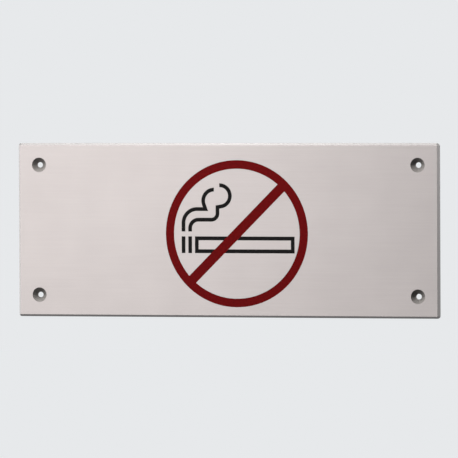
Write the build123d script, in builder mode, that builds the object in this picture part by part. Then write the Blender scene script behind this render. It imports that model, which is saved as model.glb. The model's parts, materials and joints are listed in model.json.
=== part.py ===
# No smoking sign: a steel plate with bevelled face edges and four countersunk
# screw holes, and a pictogram etched into its face and filled with colour.
#
# Millimetres. X runs along the width, Z is up, the face looks toward -Y and the
# back lies on Y = 0. The origin is the centre of the back.

from build123d import *

import os
from math import cos, radians, sin, sqrt, tan

# Plate
plate_width = 250.0
plate_height = 100.0
plate_thickness = 3.0
corner_radius = 1.5
edge_bevel = 1.2

# Screw holes, set in from the edges of the plate
hole_inset = 12.5
screw_hole_diameter = 3.2
countersink_diameter = 8.4
countersink_angle = 90.0

# Etching, and its centre measured from the centre of the plate
symbol_x = 5.7
symbol_z = -1.9
etch_depth = 0.3
fill_drop = 0.05

# Prohibition ring and its slash
ring_diameter = 84.4
ring_stroke = 4.9
slash_width = 5.7
slash_angle = 45.0

# Cigarette, its top measured from the centre of the ring, which it nearly spans:
# the clearances are from its plain end and from its lit end to the ring
line_width = 2.2
cigarette_height = 9.6
cigarette_top = -1.6
plain_end_clearance = 1.3
lit_end_clearance = 2.8
bar_gap = 1.75

# Smoke lines, each measured from the middle of its foot over one of the bars
smoke_gap = 2.8
outer_bend_radius = 8.0
outer_shelf = 12.9
outer_curl_centre = (18.2, 17.7)
outer_curl_radius = 6.4
outer_curl_lean = 20.0
outer_curl_end = 90.0
inner_bend_radius = 4.9
inner_shelf = 6.8
inner_rise_radius = 3.7
inner_rise_x = 16.35
inner_curl_centre = (17.65, 20.5)
inner_curl_radius = 6.1
inner_curl_lean = 10.0
inner_curl_end = 92.0

# Values worked out from the sizes above
hole_spacing_x = plate_width - 2 * hole_inset
hole_spacing_z = plate_height - 2 * hole_inset
fill_thickness = etch_depth - fill_drop
half_line = line_width / 2
ring_inner_radius = ring_diameter / 2 - ring_stroke
cigarette_bottom = cigarette_top - cigarette_height
cigarette_middle_z = (cigarette_top + cigarette_bottom) / 2
half_opening = sqrt(ring_inner_radius**2 - cigarette_bottom**2)
outer_bar_x = lit_end_clearance + half_line - half_opening
inner_bar_x = outer_bar_x + line_width + bar_gap
cigarette_left = inner_bar_x + half_line + bar_gap
cigarette_right = half_opening - plain_end_clearance
cigarette_length = cigarette_right - cigarette_left
cigarette_middle_x = (cigarette_left + cigarette_right) / 2
smoke_foot_z = cigarette_top + smoke_gap

# The plate's face, the floor of the etching, and the foot of each smoke line
face = Plane.XZ.offset(plate_thickness)
etch_floor = Plane(
    origin=(symbol_x, etch_depth - plate_thickness, symbol_z),
    x_dir=face.x_dir,
    z_dir=face.z_dir,
)


def smoke_plane(bar_x):
    """The floor of the etching, with its origin at the foot of a smoke line."""
    foot = etch_floor.from_local_coords(Vector(bar_x, smoke_foot_z))
    return Plane(origin=foot, x_dir=etch_floor.x_dir, z_dir=etch_floor.z_dir)


def on_circle(centre, radius, angle):
    """The point of a circle at an angle in degrees."""
    turn = radians(angle)
    return (centre[0] + radius * cos(turn), centre[1] + radius * sin(turn))


def draw_slash(mode=Mode.ADD):
    """The diagonal bar, ending inside the stroke of the ring."""
    Rectangle(ring_diameter - ring_stroke, slash_width, rotation=slash_angle, mode=mode)


def draw_outer_smoke_side(reach):
    """One side of the outer smoke line, offset by reach from its middle."""
    bend = (outer_bend_radius, outer_shelf - outer_bend_radius)
    shelf = outer_shelf + reach
    curl_radius = outer_curl_radius + reach
    curl_angle = 180 + outer_curl_lean
    curl_start = on_circle(outer_curl_centre, curl_radius, curl_angle)
    drop = curl_start[1] - shelf
    corner = (curl_start[0] + drop * tan(radians(outer_curl_lean)), shelf)
    Line((-reach, 0), (-reach, bend[1]))
    CenterArc(bend, outer_bend_radius + reach, 180, -90)
    Polyline((bend[0], shelf), corner, curl_start)
    CenterArc(outer_curl_centre, curl_radius, curl_angle, outer_curl_end - curl_angle)


def draw_inner_smoke_side(reach):
    """One side of the inner smoke line, offset by reach from its middle."""
    bend = (inner_bend_radius, inner_shelf - inner_bend_radius)
    shelf = inner_shelf + reach
    rise = (inner_rise_x - inner_rise_radius, inner_shelf + inner_rise_radius)
    rise_side = inner_rise_x - reach
    curl_radius = inner_curl_radius - reach
    curl_angle = inner_curl_lean - 90
    curl_start = on_circle(inner_curl_centre, curl_radius, curl_angle)
    run = curl_start[0] - rise_side
    corner = (rise_side, curl_start[1] - run * tan(radians(inner_curl_lean)))
    Line((-reach, 0), (-reach, bend[1]))
    CenterArc(bend, inner_bend_radius + reach, 180, -90)
    Line((bend[0], shelf), (rise[0], shelf))
    CenterArc(rise, inner_rise_radius - reach, -90, 90)
    Polyline((rise_side, rise[1]), corner, curl_start)
    CenterArc(inner_curl_centre, curl_radius, curl_angle, inner_curl_end - curl_angle)


def close_smoke_line(curl_centre, curl_radius, curl_end):
    """The square ends of a smoke line, at its foot and at the end of its curl."""
    inside = on_circle(curl_centre, curl_radius - half_line, curl_end)
    outside = on_circle(curl_centre, curl_radius + half_line, curl_end)
    Line((-half_line, 0), (half_line, 0))
    Line(inside, outside)


# Outlines of the pictogram
with BuildSketch(etch_floor) as ring_outline:
    Circle(ring_diameter / 2)
    Circle(ring_inner_radius, mode=Mode.SUBTRACT)
    draw_slash()

with BuildSketch(etch_floor) as cigarette_outline:
    with Locations((cigarette_middle_x, cigarette_middle_z)):
        Rectangle(cigarette_length, cigarette_height)
        Rectangle(
            cigarette_length - 2 * line_width,
            cigarette_height - 2 * line_width,
            mode=Mode.SUBTRACT,
        )
    draw_slash(Mode.SUBTRACT)

with BuildSketch(etch_floor) as bars_outline:
    with Locations(
        (outer_bar_x, cigarette_middle_z), (inner_bar_x, cigarette_middle_z)
    ):
        Rectangle(line_width, cigarette_height)

with BuildSketch(smoke_plane(outer_bar_x)) as outer_smoke_outline:
    with BuildLine():
        draw_outer_smoke_side(half_line)
        draw_outer_smoke_side(-half_line)
        close_smoke_line(outer_curl_centre, outer_curl_radius, outer_curl_end)
    make_face()

with BuildSketch(smoke_plane(inner_bar_x)) as inner_smoke_outline:
    with BuildLine():
        draw_inner_smoke_side(half_line)
        draw_inner_smoke_side(-half_line)
        close_smoke_line(inner_curl_centre, inner_curl_radius, inner_curl_end)
    make_face()

etched_outlines = (
    ring_outline,
    cigarette_outline,
    bars_outline,
    outer_smoke_outline,
    inner_smoke_outline,
)

# Plate: rounded corners, bevelled face edges, countersunk holes, etched recesses
with BuildPart() as sign_plate:
    with BuildSketch(Plane.XZ):
        RectangleRounded(plate_width, plate_height, corner_radius)
    extrude(amount=plate_thickness)
    chamfer(sign_plate.faces().sort_by(Axis.Y)[0].edges(), length=edge_bevel)
    with Locations(face):
        with GridLocations(hole_spacing_x, hole_spacing_z, 2, 2):
            CounterSinkHole(
                radius=screw_hole_diameter / 2,
                counter_sink_radius=countersink_diameter / 2,
                counter_sink_angle=countersink_angle,
            )
    for outline in etched_outlines:
        extrude(outline.sketch, amount=etch_depth, mode=Mode.SUBTRACT)

sign_plate.part.label = "sign_plate"

# Colour fills: each lies on the floor of its recess, just under the face
with BuildPart() as prohibition_ring:
    extrude(ring_outline.sketch, amount=fill_thickness)

prohibition_ring.part.label = "prohibition_ring"

with BuildPart() as cigarette:
    extrude(cigarette_outline.sketch, amount=fill_thickness)

cigarette.part.label = "cigarette"

with BuildPart() as tip_bars:
    extrude(bars_outline.sketch, amount=fill_thickness)

tip_bars.part.label = "tip_bars"

with BuildPart() as outer_smoke_line:
    extrude(outer_smoke_outline.sketch, amount=fill_thickness)

outer_smoke_line.part.label = "outer_smoke_line"

with BuildPart() as inner_smoke_line:
    extrude(inner_smoke_outline.sketch, amount=fill_thickness)

inner_smoke_line.part.label = "inner_smoke_line"

# One file for each piece
os.makedirs("parts", exist_ok=True)
export_step(sign_plate.part, "parts/sign_plate.step")
export_step(prohibition_ring.part, "parts/prohibition_ring.step")
export_step(cigarette.part, "parts/cigarette.step")
export_step(tip_bars.part, "parts/tip_bars.step")
export_step(outer_smoke_line.part, "parts/outer_smoke_line.step")
export_step(inner_smoke_line.part, "parts/inner_smoke_line.step")
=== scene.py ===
import json
import math

import bpy
from bpy.props import FloatProperty, FloatVectorProperty, PointerProperty
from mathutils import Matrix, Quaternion, Vector

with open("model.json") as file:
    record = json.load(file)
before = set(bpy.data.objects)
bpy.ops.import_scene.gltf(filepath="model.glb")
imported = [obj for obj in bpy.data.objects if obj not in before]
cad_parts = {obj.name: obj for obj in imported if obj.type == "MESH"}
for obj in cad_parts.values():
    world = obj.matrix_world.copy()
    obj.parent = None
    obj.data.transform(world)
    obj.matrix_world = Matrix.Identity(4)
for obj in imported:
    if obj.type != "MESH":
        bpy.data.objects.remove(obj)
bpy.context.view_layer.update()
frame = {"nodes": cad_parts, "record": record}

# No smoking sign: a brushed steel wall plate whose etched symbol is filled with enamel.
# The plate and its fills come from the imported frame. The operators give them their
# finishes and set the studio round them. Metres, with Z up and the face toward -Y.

bl_info = {
    "name": "No smoking sign",
    "version": (1, 0, 0),
    "blender": (4, 5, 0),
    "location": "3D View > Sidebar > Sign",
    "description": "Finishes a steel no smoking sign and sets a studio round it",
    "category": "Object",
}

MM = 0.001

PLATE = ("sign_plate",)
RED_FILLS = ("prohibition_ring",)
BLACK_FILLS = ("cigarette", "tip_bars", "outer_smoke_line", "inner_smoke_line")

# The drilling pattern of the four holes, from the sign's own fixing holes
DRILLING = next(
    mount["dims"] for mount in frame["record"]["mounts"] if mount["kind"] == "bolt_pattern"
)

# Face and back are where the normal's Y is beyond this, within 18 degrees of square
SQUARE_ON = 0.95

# The middle part of a noise texture's values, which is most of what it gives
NOISE_RANGE = {"From Min": 0.3, "From Max": 0.7}

# Share of its height that a bump shows
BUMP_STRENGTH = 0.5

# Steel: how rough each surface is, how far streaks and clouds shade it, how deep its
# scratches are, and how far brushing draws reflections out. The turn sets that across
# the grain, and the last value is the faint gloss of the drilled countersinks
SHEET_ROUGHNESS = 0.42
CUT_ROUGHNESS = 0.5
DRILLED_ROUGHNESS = 0.7
STEEL_UNEVENNESS = 0.02
SCRATCH_DEPTH = 0.004 * MM
BRUSHED_STRETCH = 0.5
QUARTER_TURN = 0.25
DRILLED_GLOSS = 0.1

# Enamel: its smoothest and roughest places, how far the mottle shades it, how deep the
# mottle is, how it bends light, and its low gloss
ENAMEL_SMOOTH = 0.35
ENAMEL_ROUGH = 0.5
ENAMEL_UNEVENNESS = 0.15
MOTTLE_DEPTH = 0.01 * MM
ENAMEL_IOR = 1.5
ENAMEL_GLOSS = 0.04

# Each soft box's place, from the centre of the sign's back, and its width. The right
# one is behind the plane of the face, so it lights only the bevels and sides
SOFT_BOXES = {
    "key": ((-0.2, -0.32, 0.8), 0.7),
    "front": ((-0.3, -0.5, 0.093), 0.5),
    "left": ((-0.9, 0.1, 0.1), 0.8),
    "right": ((0.36, 0.1, 0.2), 0.16),
    "back": ((0.25, 0.85, 0.45), 0.6),
}

# Width of the camera's sensor, in millimetres
SENSOR_WIDTH = 36


def linear(hex_colour):
    """An sRGB hex colour as linear red, green and blue."""
    channels = [int(hex_colour[i : i + 2], 16) / 255 for i in (0, 2, 4)]
    return tuple(
        c / 12.92 if c <= 0.04045 else ((c + 0.055) / 1.055) ** 2.4 for c in channels
    )


def add_node(tree, kind, inputs=None, **settings):
    """Adds a node with its settings and inputs.

    An input is named, or numbered where names repeat. It is a value, an output to link,
    or a node whose first output is linked.
    """
    node = tree.nodes.new(kind)
    for name, value in settings.items():
        setattr(node, name, value)
    for key, value in (inputs or {}).items():
        if isinstance(key, str):
            socket = next(s for s in node.inputs if s.enabled and s.name == key)
        else:
            socket = node.inputs[key]
        if isinstance(value, bpy.types.Node):
            value = next(s for s in value.outputs if s.enabled)
        if isinstance(value, bpy.types.NodeSocket):
            tree.links.new(value, socket)
        else:
            socket.default_value = value
    return node


def new_material(name):
    """A material with an empty node tree."""
    material = bpy.data.materials.new(name)
    material.use_nodes = True
    material.node_tree.nodes.clear()
    return material


def dress(names, material):
    """Gives the CAD nodes of these names a material."""
    for name in names:
        node = frame["nodes"][name]
        node.data.materials.clear()
        node.data.materials.append(material)


class PlateFinish(bpy.types.PropertyGroup):
    """The finishes of the steel plate."""

    face_colour: FloatVectorProperty(
        name="Face",
        description="Steel of the brushed face",
        subtype="COLOR",
        default=linear("A49D9B"),
        min=0,
        max=1,
    )
    back_colour: FloatVectorProperty(
        name="Back",
        description="Steel of the unbrushed back",
        subtype="COLOR",
        default=linear("AEABA9"),
        min=0,
        max=1,
    )
    edge_colour: FloatVectorProperty(
        name="Edge",
        description="Duller steel of the milled bevels and cut sides",
        subtype="COLOR",
        default=linear("747170"),
        min=0,
        max=1,
    )
    # The countersinks' dark tone is painted shade, standing in for the shade inside the
    # holes
    countersink_painted_shade: FloatVectorProperty(
        name="Countersink",
        description="Dark tone of the drilled countersinks",
        subtype="COLOR",
        default=linear("7A7673"),
        min=0,
        max=1,
    )
    hole_reach: FloatProperty(
        name="Countersink reach",
        description="Distance from a hole's axis within which the steel is drilled",
        subtype="DISTANCE",
        default=5 * MM,
        min=0,
    )
    scratch_spacing: FloatProperty(
        name="Scratch spacing",
        description="Distance between brushed scratches, across the grain",
        subtype="DISTANCE",
        default=0.8 * MM,
        min=0.05 * MM,
    )
    scratch_length: FloatProperty(
        name="Scratch length",
        description="Length of a brushed scratch, along the grain",
        subtype="DISTANCE",
        default=40 * MM,
        min=1 * MM,
    )
    cloud_size: FloatProperty(
        name="Cloud size",
        description="Size of the faint clouding of the sheet",
        subtype="DISTANCE",
        default=25 * MM,
        min=1 * MM,
    )


class FillFinish(bpy.types.PropertyGroup):
    """The finishes of the enamel fills."""

    red: FloatVectorProperty(
        name="Red",
        description="Enamel of the ring and slash",
        subtype="COLOR",
        default=linear("670A0C"),
        min=0,
        max=1,
    )
    black: FloatVectorProperty(
        name="Black",
        description="Enamel of the cigarette and its smoke",
        subtype="COLOR",
        default=linear("171616"),
        min=0,
        max=1,
    )
    mottle_size: FloatProperty(
        name="Mottle size",
        description="Size of the unevenness of the cured enamel",
        subtype="DISTANCE",
        default=1.5 * MM,
        min=0.1 * MM,
    )


class StudioSettings(bpy.types.PropertyGroup):
    """The surroundings, the soft boxes and the camera."""

    background: FloatVectorProperty(
        name="Background",
        description="Pale colour of the surroundings",
        subtype="COLOR",
        default=linear("E7E9EB"),
        min=0,
        max=1,
    )
    ambient: FloatProperty(
        name="Ambient",
        description="Share of the background that lights matt surfaces",
        subtype="FACTOR",
        default=0.05,
        min=0,
        max=1,
    )
    floor_drop: FloatProperty(
        name="Floor drop",
        description="Height of the sign's centre above the floor",
        subtype="DISTANCE",
        default=0.4,
        min=0.06,
    )
    floor_size: FloatProperty(
        name="Floor size",
        description="Width of the floor",
        subtype="DISTANCE",
        default=14.0,
        min=1.0,
    )
    paper_tone: FloatProperty(
        name="Paper tone",
        description="How much the floor answers to lamps and shadows, of all its paleness",
        subtype="FACTOR",
        default=0.1,
        min=0,
        max=1,
    )
    key_glow: FloatProperty(
        name="Key glow",
        description="Brightness of the soft box high in front, where 1 is white",
        default=10.5,
        min=0,
    )
    front_glow: FloatProperty(
        name="Front glow",
        description="Brightness of the soft box in front on the left, where 1 is white",
        default=1.46,
        min=0,
    )
    left_glow: FloatProperty(
        name="Left glow",
        description="Brightness of the soft box left of the sign, where 1 is white",
        default=3.8,
        min=0,
    )
    right_glow: FloatProperty(
        name="Right glow",
        description="Brightness of the small soft box at the upper right, where 1 is white",
        default=30.0,
        min=0,
    )
    back_glow: FloatProperty(
        name="Back glow",
        description="Brightness of the soft box behind the sign, where 1 is white",
        default=2.0,
        min=0,
    )
    camera_turn: FloatProperty(
        name="Turn",
        description="Camera's angle to the right of the face's middle line",
        subtype="ANGLE",
        default=math.radians(15.228),
        min=-math.pi,
        max=math.pi,
    )
    camera_rise: FloatProperty(
        name="Rise",
        description="Camera's angle above the sign",
        subtype="ANGLE",
        default=math.radians(1.6),
        min=-math.pi / 2,
        max=math.pi / 2,
    )
    camera_roll: FloatProperty(
        name="Roll",
        description="Camera's turn about the line that it looks along",
        subtype="ANGLE",
        default=math.radians(-0.25),
        min=-math.pi,
        max=math.pi,
    )
    camera_distance: FloatProperty(
        name="Distance",
        description="Distance from the camera to the point it looks at",
        subtype="DISTANCE",
        default=4.0,
        min=0.5,
    )
    camera_aim: FloatVectorProperty(
        name="Aim",
        description="Point that the camera looks at",
        subtype="TRANSLATION",
        default=(0.3 * MM, 0, 0.716 * MM),
    )
    camera_lens: FloatProperty(
        name="Lens",
        description="Focal length in millimetres, on a sensor 36 mm wide",
        default=547.74,
        min=10,
    )


def hole_distance(tree, place):
    """Nodes that give how far a point lies from the axis of the nearest hole."""
    point = add_node(tree, "ShaderNodeSeparateXYZ", {"Vector": place.outputs["Object"]})
    offsets = []
    for axis, spacing in (("X", DRILLING["spacing_x_mm"]), ("Z", DRILLING["spacing_y_mm"])):
        out = add_node(
            tree, "ShaderNodeMath", {0: point.outputs[axis]}, operation="ABSOLUTE"
        )
        offset = add_node(
            tree, "ShaderNodeMath", {0: out, 1: spacing / 2 * MM}, operation="SUBTRACT"
        )
        offsets.append(offset)
    across = add_node(tree, "ShaderNodeCombineXYZ", {"X": offsets[0], "Y": offsets[1]})
    length = add_node(tree, "ShaderNodeVectorMath", {0: across}, operation="LENGTH")
    return length.outputs["Value"]


def brushed_steel(finish):
    """Stainless steel sheet, belt-brushed along its width on the face.

    The brushing spreads reflections into a satin sheen, drawn out across the grain,
    with faint long streaks. The back keeps the even, greyer mill finish. The milled
    bevels and cut sides are duller. The drilled countersinks are matt, and their dark
    non-metal tone is painted shade.
    """
    material = new_material("brushed stainless steel")
    tree = material.node_tree
    place = add_node(tree, "ShaderNodeTexCoord")

    # Scratches along X. A real belt's are too fine to show, so these are coarser
    grain = add_node(
        tree,
        "ShaderNodeMapping",
        {
            "Vector": place.outputs["Object"],
            "Scale": (
                1 / finish.scratch_length,
                1 / finish.scratch_spacing,
                1 / finish.scratch_spacing,
            ),
        },
    )
    scratches = add_node(
        tree,
        "ShaderNodeTexNoise",
        {"Vector": grain, "Scale": 1.0, "Detail": 4.0, "Roughness": 0.6},
    )
    clouds = add_node(
        tree,
        "ShaderNodeTexNoise",
        {"Vector": place.outputs["Object"], "Scale": 1 / finish.cloud_size, "Detail": 2.0},
    )
    streaks, clouding = (
        add_node(
            tree,
            "ShaderNodeMapRange",
            {
                **NOISE_RANGE,
                "Value": noise,
                "To Min": 1 - STEEL_UNEVENNESS,
                "To Max": 1 + STEEL_UNEVENNESS,
            },
        )
        for noise in (scratches, clouds)
    )
    face_shade = add_node(
        tree, "ShaderNodeMath", {0: streaks, 1: clouding}, operation="MULTIPLY"
    )

    # Which surface a point is on: the face looks toward -Y and the back toward +Y
    facing = add_node(tree, "ShaderNodeSeparateXYZ", {"Vector": place.outputs["Normal"]})
    on_face = add_node(
        tree,
        "ShaderNodeMath",
        {0: facing.outputs["Y"], 1: -SQUARE_ON},
        operation="LESS_THAN",
    )
    on_back = add_node(
        tree,
        "ShaderNodeMath",
        {0: facing.outputs["Y"], 1: SQUARE_ON},
        operation="GREATER_THAN",
    )
    near_hole = add_node(
        tree,
        "ShaderNodeMath",
        {0: hole_distance(tree, place), 1: finish.hole_reach},
        operation="LESS_THAN",
    )
    on_sheet = add_node(
        tree, "ShaderNodeMath", {0: on_face, 1: on_back}, operation="MAXIMUM"
    )
    drilled = add_node(
        tree, "ShaderNodeMath", {0: near_hole, 1: on_sheet}, operation="GREATER_THAN"
    )

    # Each surface's colour
    face_tone = add_node(
        tree,
        "ShaderNodeVectorMath",
        {0: finish.face_colour, "Scale": face_shade},
        operation="SCALE",
    )
    back_tone = add_node(
        tree,
        "ShaderNodeVectorMath",
        {0: finish.back_colour, "Scale": clouding},
        operation="SCALE",
    )
    # The cuts take the duller edge steel, and the countersinks a painted shade
    cut_tone = add_node(
        tree,
        "ShaderNodeMix",
        {"Factor": drilled, "A": (*finish.edge_colour, 1), "B": (*finish.countersink_painted_shade, 1)},
        data_type="RGBA",
    )
    tone = add_node(
        tree,
        "ShaderNodeMix",
        {"Factor": on_face, "A": cut_tone, "B": face_tone},
        data_type="RGBA",
    )
    tone = add_node(
        tree,
        "ShaderNodeMix",
        {"Factor": on_back, "A": tone, "B": back_tone},
        data_type="RGBA",
    )

    # Face and back are a little smoother than the cuts, and the streaks vary them all
    cut = add_node(
        tree,
        "ShaderNodeMapRange",
        {"Value": drilled, "To Min": CUT_ROUGHNESS, "To Max": DRILLED_ROUGHNESS},
    )
    cut_or_sheet = add_node(
        tree,
        "ShaderNodeMapRange",
        {"Value": on_sheet, "To Min": cut, "To Max": SHEET_ROUGHNESS},
    )
    roughness = add_node(
        tree, "ShaderNodeMath", {0: cut_or_sheet, 1: streaks}, operation="MULTIPLY"
    )

    # The countersinks are shaded as no metal, so that they show a dark tone that is
    # painted shade, and not the pale surroundings. Only there does the specular level count
    metal = add_node(
        tree, "ShaderNodeMapRange", {"Value": drilled, "To Min": 1.0, "To Max": 0.0}
    )
    relief = add_node(
        tree,
        "ShaderNodeBump",
        {"Strength": BUMP_STRENGTH, "Distance": SCRATCH_DEPTH, "Height": scratches},
    )
    shader = add_node(
        tree,
        "ShaderNodeBsdfPrincipled",
        {
            "Base Color": tone,
            "Metallic": metal,
            "Roughness": roughness,
            "Specular IOR Level": DRILLED_GLOSS,
            "Anisotropic": BRUSHED_STRETCH,
            "Anisotropic Rotation": QUARTER_TURN,
            "Normal": relief,
        },
    )
    add_node(tree, "ShaderNodeOutputMaterial", {"Surface": shader})
    return material


def enamel(name, colour, finish):
    """Two-part enamel, spread into the etching, cured and wiped level.

    It has a low satin gloss, and a faint mottle where it has shrunk as it cured.
    """
    material = new_material(name)
    tree = material.node_tree
    place = add_node(tree, "ShaderNodeTexCoord")
    mottle = add_node(
        tree,
        "ShaderNodeTexNoise",
        {"Vector": place.outputs["Object"], "Scale": 1 / finish.mottle_size, "Detail": 3.0},
    )
    shade = add_node(
        tree,
        "ShaderNodeMapRange",
        {
            **NOISE_RANGE,
            "Value": mottle,
            "To Min": 1 - ENAMEL_UNEVENNESS,
            "To Max": 1 + ENAMEL_UNEVENNESS,
        },
    )
    tone = add_node(
        tree, "ShaderNodeVectorMath", {0: colour, "Scale": shade}, operation="SCALE"
    )
    roughness = add_node(
        tree,
        "ShaderNodeMapRange",
        {"Value": mottle, "To Min": ENAMEL_SMOOTH, "To Max": ENAMEL_ROUGH},
    )
    relief = add_node(
        tree,
        "ShaderNodeBump",
        {"Strength": BUMP_STRENGTH, "Distance": MOTTLE_DEPTH, "Height": mottle},
    )
    shader = add_node(
        tree,
        "ShaderNodeBsdfPrincipled",
        {
            "Base Color": tone,
            "Roughness": roughness,
            "IOR": ENAMEL_IOR,
            "Specular IOR Level": ENAMEL_GLOSS,
            "Normal": relief,
        },
    )
    add_node(tree, "ShaderNodeOutputMaterial", {"Surface": shader})
    return material


def seen_directly(tree):
    """Nodes that give 1 for what the camera, metal and glass see, and 0 otherwise."""
    path = add_node(tree, "ShaderNodeLightPath")
    seen = path.outputs["Is Camera Ray"]
    for ray in ("Is Glossy Ray", "Is Transmission Ray"):
        seen = add_node(
            tree, "ShaderNodeMath", {0: seen, 1: path.outputs[ray]}, operation="MAXIMUM"
        )
    return seen


def pale_paper(studio):
    """Matt seamless paper, as pale as the surroundings, that takes soft shadows.

    Its glow leaves out what it returns of the ambient light, so that the two look alike.
    """
    material = new_material("pale seamless paper")
    tree = material.node_tree
    answer = studio.paper_tone
    paper = add_node(
        tree,
        "ShaderNodeBsdfDiffuse",
        {"Color": (*(answer * tone for tone in studio.background), 1)},
    )
    strength = add_node(
        tree,
        "ShaderNodeMath",
        {0: seen_directly(tree), 1: 1 - answer * studio.ambient},
        operation="MULTIPLY",
    )
    paleness = add_node(
        tree,
        "ShaderNodeEmission",
        {"Color": (*studio.background, 1), "Strength": strength},
    )
    surface = add_node(tree, "ShaderNodeAddShader", {0: paper, 1: paleness})
    add_node(tree, "ShaderNodeOutputMaterial", {"Surface": surface})
    return material


def pale_surroundings(studio):
    """A world as pale as the background, which lights matt surfaces less.

    It isn't sampled as a lamp, because its strength depends on what looks at it.
    """
    world = bpy.data.worlds.new("pale surroundings")
    world.use_nodes = True
    world.cycles.sampling_method = "NONE"
    tree = world.node_tree
    tree.nodes.clear()
    strength = add_node(
        tree,
        "ShaderNodeMapRange",
        {"Value": seen_directly(tree), "To Min": studio.ambient, "To Max": 1.0},
    )
    background = add_node(
        tree,
        "ShaderNodeBackground",
        {"Color": (*studio.background, 1), "Strength": strength},
    )
    add_node(tree, "ShaderNodeOutputWorld", {"Surface": background})
    return world


def add_soft_box(name, place, size, glow):
    """A square soft box that glows evenly, at a place and turned to the sign."""
    data = bpy.data.lights.new(name, "AREA")
    data.size = size
    data.energy = glow * math.pi * size**2
    lamp = bpy.data.objects.new(name, data)
    lamp.location = place
    lamp.rotation_mode = "QUATERNION"
    lamp.rotation_quaternion = (-Vector(place)).to_track_quat("-Z", "Y")
    bpy.context.scene.collection.objects.link(lamp)


def add_camera(studio):
    """The camera, at the photograph's viewing angle."""
    turn = studio.camera_turn
    rise = studio.camera_rise
    toward_camera = Vector(
        (math.sin(turn) * math.cos(rise), -math.cos(turn) * math.cos(rise), math.sin(rise))
    )
    data = bpy.data.cameras.new("camera")
    data.sensor_width = SENSOR_WIDTH
    data.lens = studio.camera_lens
    camera = bpy.data.objects.new("camera", data)
    camera.location = Vector(studio.camera_aim) + toward_camera * studio.camera_distance
    camera.rotation_mode = "QUATERNION"
    camera.rotation_quaternion = (-toward_camera).to_track_quat("-Z", "Y") @ Quaternion(
        (0, 0, 1), studio.camera_roll
    )
    bpy.context.scene.collection.objects.link(camera)
    bpy.context.scene.camera = camera


class SIGN_OT_finish_plate(bpy.types.Operator):
    """Give the plate its brushed face, milled edges and countersinks in painted shade"""

    bl_idname = "sign.finish_plate"
    bl_label = "Finish Plate"

    def execute(self, context):
        dress(PLATE, brushed_steel(context.scene.plate_finish))
        return {"FINISHED"}


class SIGN_OT_fill_symbol(bpy.types.Operator):
    """Fill the etched symbol with red and black enamel"""

    bl_idname = "sign.fill_symbol"
    bl_label = "Fill Symbol"

    def execute(self, context):
        finish = context.scene.fill_finish
        dress(RED_FILLS, enamel("red enamel", finish.red, finish))
        dress(BLACK_FILLS, enamel("black enamel", finish.black, finish))
        return {"FINISHED"}


class SIGN_OT_set_stage(bpy.types.Operator):
    """Set the floor, the pale surroundings, the soft boxes and the camera"""

    bl_idname = "sign.set_stage"
    bl_label = "Set Stage"

    def execute(self, context):
        studio = context.scene.studio_settings
        context.scene.world = pale_surroundings(studio)
        context.scene.view_settings.view_transform = "Standard"

        bpy.ops.object.select_all(action="DESELECT")
        bpy.ops.mesh.primitive_plane_add(
            size=studio.floor_size, location=(0, 0, -studio.floor_drop)
        )
        bpy.ops.object.transform_apply()
        floor = context.active_object
        floor.name = "studio_floor"
        floor.data.materials.append(pale_paper(studio))

        for name, (place, size) in SOFT_BOXES.items():
            glow = getattr(studio, f"{name}_glow")
            add_soft_box(f"{name}_soft_box", place, size, glow)
        add_camera(studio)
        return {"FINISHED"}


class SIGN_PT_sidebar(bpy.types.Panel):
    """The sign's finishes and its studio"""

    bl_idname = "SIGN_PT_sidebar"
    bl_label = "No Smoking Sign"
    bl_space_type = "VIEW_3D"
    bl_region_type = "UI"
    bl_category = "Sign"

    def draw(self, context):
        for operator, settings in (
            (SIGN_OT_finish_plate, context.scene.plate_finish),
            (SIGN_OT_fill_symbol, context.scene.fill_finish),
            (SIGN_OT_set_stage, context.scene.studio_settings),
        ):
            box = self.layout.box()
            for name in settings.__annotations__:
                box.prop(settings, name)
            box.operator(operator.bl_idname)


CLASSES = (
    PlateFinish,
    FillFinish,
    StudioSettings,
    SIGN_OT_finish_plate,
    SIGN_OT_fill_symbol,
    SIGN_OT_set_stage,
    SIGN_PT_sidebar,
)


def register():
    for each in CLASSES:
        bpy.utils.register_class(each)
    bpy.types.Scene.plate_finish = PointerProperty(type=PlateFinish)
    bpy.types.Scene.fill_finish = PointerProperty(type=FillFinish)
    bpy.types.Scene.studio_settings = PointerProperty(type=StudioSettings)


def unregister():
    del bpy.types.Scene.studio_settings
    del bpy.types.Scene.fill_finish
    del bpy.types.Scene.plate_finish
    for each in reversed(CLASSES):
        bpy.utils.unregister_class(each)


def main():
    register()
    bpy.ops.sign.finish_plate()
    bpy.ops.sign.fill_symbol()
    bpy.ops.sign.set_stage()


if __name__ == "__main__":
    main()
